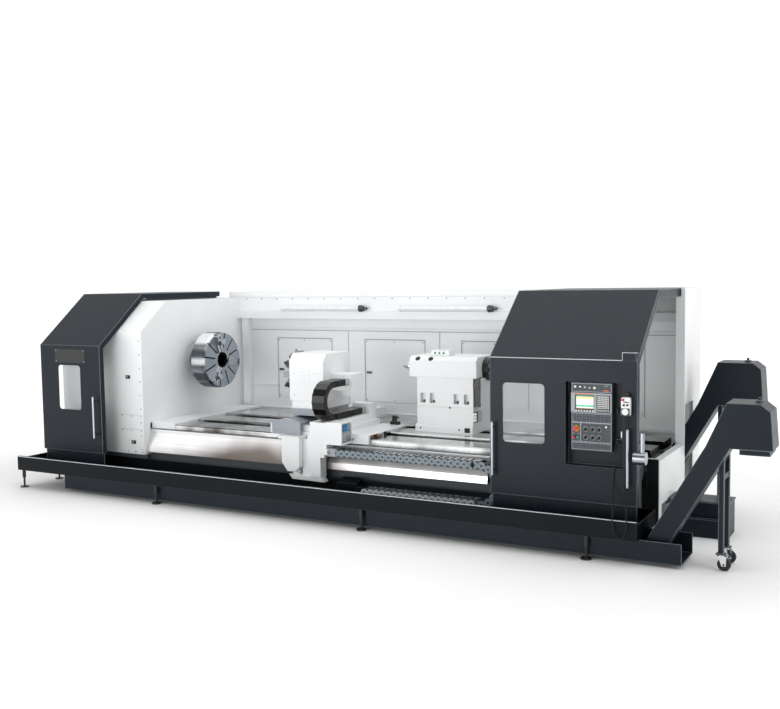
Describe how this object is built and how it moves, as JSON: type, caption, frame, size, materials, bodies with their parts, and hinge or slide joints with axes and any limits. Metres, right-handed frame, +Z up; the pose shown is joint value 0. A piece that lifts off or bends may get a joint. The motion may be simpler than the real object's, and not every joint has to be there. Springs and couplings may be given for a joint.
{
  "type": "flat-bed cnc turning lathe",
  "caption": "Long flat-bed CNC lathe with open sliding hoods, three-jaw chuck, drum turret carriage, tailstock, operator panel with pendant, and chip conveyors.",
  "frame": {"origin": "on the floor under the middle of the machine's bounding box", "axes": "+X from the headstock to the tailstock, +Y from the operator's side to the back, +Z up"},
  "size_m": [7.978, 2.5538, 2.16],
  "materials": {
    "white_paint": "satin",
    "charcoal_paint": "satin",
    "cast_iron": "matte",
    "ground_steel": "ground",
    "polished_sheet": "polished",
    "black_steel": "satin",
    "grey_steel": "satin",
    "chrome": "polished",
    "clear_glass": "clear",
    "panel_grey": "matte",
    "red_plastic": "gloss",
    "green_plastic": "gloss",
    "black_plastic": "matte",
    "chain_plastic": "matte",
    "light_plastic": "matte",
    "black_rubber": "matte",
    "lamp_white": "gloss"
  },
  "bodies": {
    "base": {"base_tray": "charcoal_paint", "levelling_feet": "black_steel", "bed": "cast_iron", "slideways": "ground_steel", "chip_guard": "polished_sheet", "ball_screw": "ground_steel", "headstock": "cast_iron", "headstock_guard": "white_paint", "spindle_motor": "charcoal_paint", "drive_belt": "black_rubber", "rear_guard": "white_paint", "access_panels": "white_paint", "work_lamps": "lamp_white", "end_frame": "white_paint", "front_conveyor": "charcoal_paint", "rear_conveyor": "charcoal_paint", "coolant_tank": "charcoal_paint"},
    "spindle": {"spindle": "ground_steel", "chuck": "ground_steel"},
    "motor_pulley": {"motor_pulley": "ground_steel"},
    "jaw_1": {"jaw_1": "ground_steel"},
    "jaw_2": {"jaw_2": "ground_steel"},
    "jaw_3": {"jaw_3": "ground_steel"},
    "left_hood": {"left_hood": "charcoal_paint", "left_window": "clear_glass", "left_handle": "chrome"},
    "right_hood": {"right_hood": "charcoal_paint", "right_window": "clear_glass", "right_handles": "chrome", "operator_panel": "panel_grey", "pendant": "white_paint", "pendant_cord": "black_rubber"},
    "emergency_stop": {"emergency_stop": "red_plastic"},
    "start_button": {"start_button": "green_plastic"},
    "stop_button": {"stop_button": "red_plastic"},
    "switch_1": {"switch_1": "black_plastic"},
    "switch_2": {"switch_2": "black_plastic"},
    "switch_3": {"switch_3": "black_plastic"},
    "switch_4": {"switch_4": "black_plastic"},
    "switch_5": {"switch_5": "black_plastic"},
    "switch_6": {"switch_6": "black_plastic"},
    "pendant_wheel": {"pendant_wheel": "light_plastic"},
    "saddle": {"saddle": "white_paint", "gable_cover": "polished_sheet", "long_chain": "chain_plastic"},
    "long_bend": {"long_bend": "chain_plastic"},
    "cross_slide": {"cross_slide": "ground_steel", "turret_housing": "white_paint", "cross_chain": "black_plastic"},
    "cross_bend": {"cross_bend": "black_plastic"},
    "turret": {"turret_disc": "ground_steel", "tool_holders": "black_steel"},
    "tailstock": {"tailstock": "white_paint", "tail_cylinder": "grey_steel"},
    "quill": {"quill": "ground_steel"},
    "live_centre": {"live_centre": "ground_steel"},
    "caster_fork_1": {"caster_fork_1": "chrome"},
    "caster_fork_2": {"caster_fork_2": "chrome"},
    "caster_wheel_1": {"caster_wheel_1": "light_plastic"},
    "caster_wheel_2": {"caster_wheel_2": "light_plastic"}
  },
  "joints": [
    {"name": "spindle_turn", "type": "hinge", "parent": "base", "child": "spindle", "pos_m": [-2.389, 0.245, 1.372], "axis": [1, 0, 0], "continuous": true},
    {"name": "motor_turn", "type": "hinge", "parent": "base", "child": "motor_pulley", "pos_m": [-3.659, 0.895, 1], "axis": [1, 0, 0], "continuous": true},
    {"name": "jaw_1_slide", "type": "slide", "parent": "spindle", "child": "jaw_1", "axis": [0, -0.342, 0.9397], "range_m": [-0.015, 0.015]},
    {"name": "jaw_2_slide", "type": "slide", "parent": "spindle", "child": "jaw_2", "axis": [0, -0.6428, -0.766], "range_m": [-0.015, 0.015]},
    {"name": "jaw_3_slide", "type": "slide", "parent": "spindle", "child": "jaw_3", "axis": [0, 0.9848, -0.1736], "range_m": [-0.015, 0.015]},
    {"name": "left_hood_slide", "type": "slide", "parent": "base", "child": "left_hood", "axis": [1, 0, 0], "range_m": [0, 1.2]},
    {"name": "right_hood_slide", "type": "slide", "parent": "base", "child": "right_hood", "axis": [1, 0, 0], "range_m": [-3, 0]},
    {"name": "emergency_stop_press", "type": "slide", "parent": "right_hood", "child": "emergency_stop", "axis": [0, 1, 0], "range_m": [0, 0.004], "stiffness_N_per_m": 800},
    {"name": "stop_button_press", "type": "slide", "parent": "right_hood", "child": "stop_button", "axis": [0, 1, 0], "range_m": [0, 0.004], "stiffness_N_per_m": 800},
    {"name": "start_button_press", "type": "slide", "parent": "right_hood", "child": "start_button", "axis": [0, 1, 0], "range_m": [0, 0.004], "stiffness_N_per_m": 800},
    {"name": "switch_1_turn", "type": "hinge", "parent": "right_hood", "child": "switch_1", "pos_m": [2.499, -0.955, 1.016], "axis": [0, 1, 0], "range_deg": [-60, 60]},
    {"name": "switch_2_turn", "type": "hinge", "parent": "right_hood", "child": "switch_2", "pos_m": [2.559, -0.955, 1.016], "axis": [0, 1, 0], "range_deg": [-60, 60]},
    {"name": "switch_3_turn", "type": "hinge", "parent": "right_hood", "child": "switch_3", "pos_m": [2.613, -0.955, 1.016], "axis": [0, 1, 0], "range_deg": [-60, 60]},
    {"name": "switch_4_turn", "type": "hinge", "parent": "right_hood", "child": "switch_4", "pos_m": [2.499, -0.955, 0.948], "axis": [0, 1, 0], "range_deg": [-60, 60]},
    {"name": "switch_5_turn", "type": "hinge", "parent": "right_hood", "child": "switch_5", "pos_m": [2.559, -0.955, 0.948], "axis": [0, 1, 0], "range_deg": [-60, 60]},
    {"name": "switch_6_turn", "type": "hinge", "parent": "right_hood", "child": "switch_6", "pos_m": [2.613, -0.955, 0.948], "axis": [0, 1, 0], "range_deg": [-60, 60]},
    {"name": "pendant_wheel_turn", "type": "hinge", "parent": "right_hood", "child": "pendant_wheel", "pos_m": [2.853, -1.005, 1.188], "axis": [0, 1, 0], "continuous": true},
    {"name": "saddle_slide", "type": "slide", "parent": "base", "child": "saddle", "axis": [1, 0, 0], "range_m": [-1, 0.12], "deforming": ["long_chain"]},
    {"name": "long_bend_roll", "type": "slide", "parent": "base", "child": "long_bend", "axis": [1, 0, 0], "range_m": [-0.5, 0.06]},
    {"name": "cross_slide_feed", "type": "slide", "parent": "saddle", "child": "cross_slide", "axis": [0, 1, 0], "range_m": [0, 0.3], "deforming": ["cross_chain"]},
    {"name": "cross_bend_roll", "type": "slide", "parent": "saddle", "child": "cross_bend", "axis": [0, 1, 0], "range_m": [0, 0.15]},
    {"name": "turret_index", "type": "hinge", "parent": "cross_slide", "child": "turret", "pos_m": [-0.852, -0.195, 1.31], "axis": [1, 0, 0], "continuous": true},
    {"name": "tailstock_slide", "type": "slide", "parent": "base", "child": "tailstock", "axis": [1, 0, 0], "range_m": [-0.1, 1]},
    {"name": "quill_feed", "type": "slide", "parent": "tailstock", "child": "quill", "axis": [-1, 0, 0], "range_m": [0, 0.15]},
    {"name": "live_centre_turn", "type": "hinge", "parent": "quill", "child": "live_centre", "pos_m": [0.261, 0.245, 1.372], "axis": [1, 0, 0], "continuous": true},
    {"name": "caster_1_swivel", "type": "hinge", "parent": "base", "child": "caster_fork_1", "pos_m": [3.611, -1.045, 0.11], "axis": [0, 0, 1], "continuous": true},
    {"name": "caster_1_roll", "type": "hinge", "parent": "caster_fork_1", "child": "caster_wheel_1", "pos_m": [3.635, -1.045, 0.05], "axis": [0, 1, 0], "continuous": true},
    {"name": "caster_2_swivel", "type": "hinge", "parent": "base", "child": "caster_fork_2", "pos_m": [3.611, -0.815, 0.11], "axis": [0, 0, 1], "continuous": true},
    {"name": "caster_2_roll", "type": "hinge", "parent": "caster_fork_2", "child": "caster_wheel_2", "pos_m": [3.635, -0.815, 0.05], "axis": [0, 1, 0], "continuous": true}
  ],
  "couplings": [
    {"joint": "motor_turn", "follows": "spindle_turn", "ratio": 1.75},
    {"joint": "jaw_2_slide", "follows": "jaw_1_slide", "ratio": 1},
    {"joint": "jaw_3_slide", "follows": "jaw_1_slide", "ratio": 1},
    {"joint": "long_bend_roll", "follows": "saddle_slide", "ratio": 0.5},
    {"joint": "cross_bend_roll", "follows": "cross_slide_feed", "ratio": 0.5}
  ]
}
